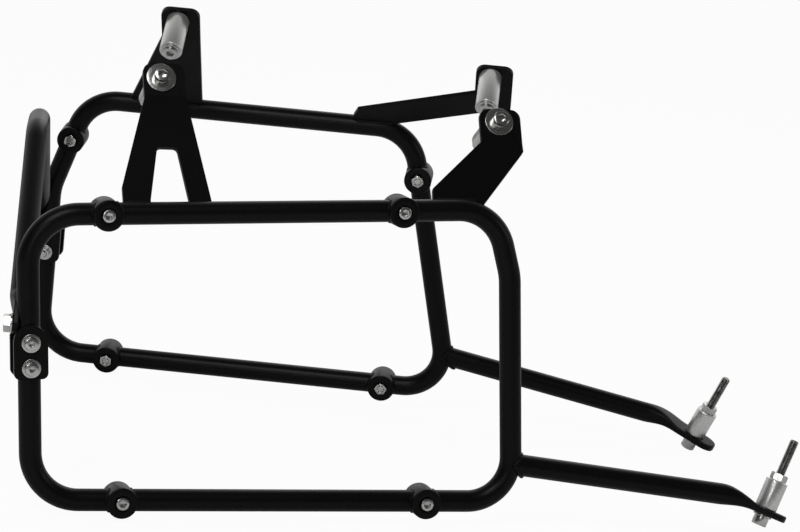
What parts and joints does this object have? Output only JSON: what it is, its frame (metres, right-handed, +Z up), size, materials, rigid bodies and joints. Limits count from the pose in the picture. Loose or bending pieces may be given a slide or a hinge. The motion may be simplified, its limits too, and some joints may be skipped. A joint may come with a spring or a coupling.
{
  "type": "pannier frame",
  "caption": "Black tubular pannier frame: two side hoops joined by a rear crossbar, with upper brackets and lower arms, fixings fitted.",
  "frame": {"origin": "on the floor plane, at the middle of the frame's bounding box seen from above", "axes": "+X towards the bike's front, +Y to the bike's left, +Z up"},
  "size_m": [0.675, 0.484, 0.3662],
  "materials": {
    "frame_coat": "satin black powder coat",
    "fixings": "bright zinc",
    "spacer_metal": "satin turned"
  },
  "bodies": {
    "root": {"right_hoop": "frame_coat", "left_hoop": "frame_coat", "right_bosses": "frame_coat", "left_bosses": "frame_coat", "boss_screws": "fixings", "boss_nuts": "fixings", "right_arm": "frame_coat", "left_arm": "frame_coat", "arm_bolts": "fixings", "arm_washers": "fixings", "arm_spacers": "spacer_metal", "arm_nuts": "fixings", "right_rear_bracket": "frame_coat", "left_rear_bracket": "frame_coat", "right_front_bracket": "frame_coat", "left_front_bracket": "frame_coat", "bracket_spacers": "spacer_metal", "bracket_bolts": "fixings", "bracket_washers": "fixings", "bracket_nuts": "fixings", "crossbar": "frame_coat", "crossbar_bolts": "fixings", "crossbar_washers": "fixings", "right_outer_clamp": "frame_coat", "right_inner_clamp": "frame_coat", "left_outer_clamp": "frame_coat", "left_inner_clamp": "frame_coat", "clamp_screws": "fixings", "clamp_washers": "fixings", "clamp_nuts": "fixings"}
  },
  "joints": []
}
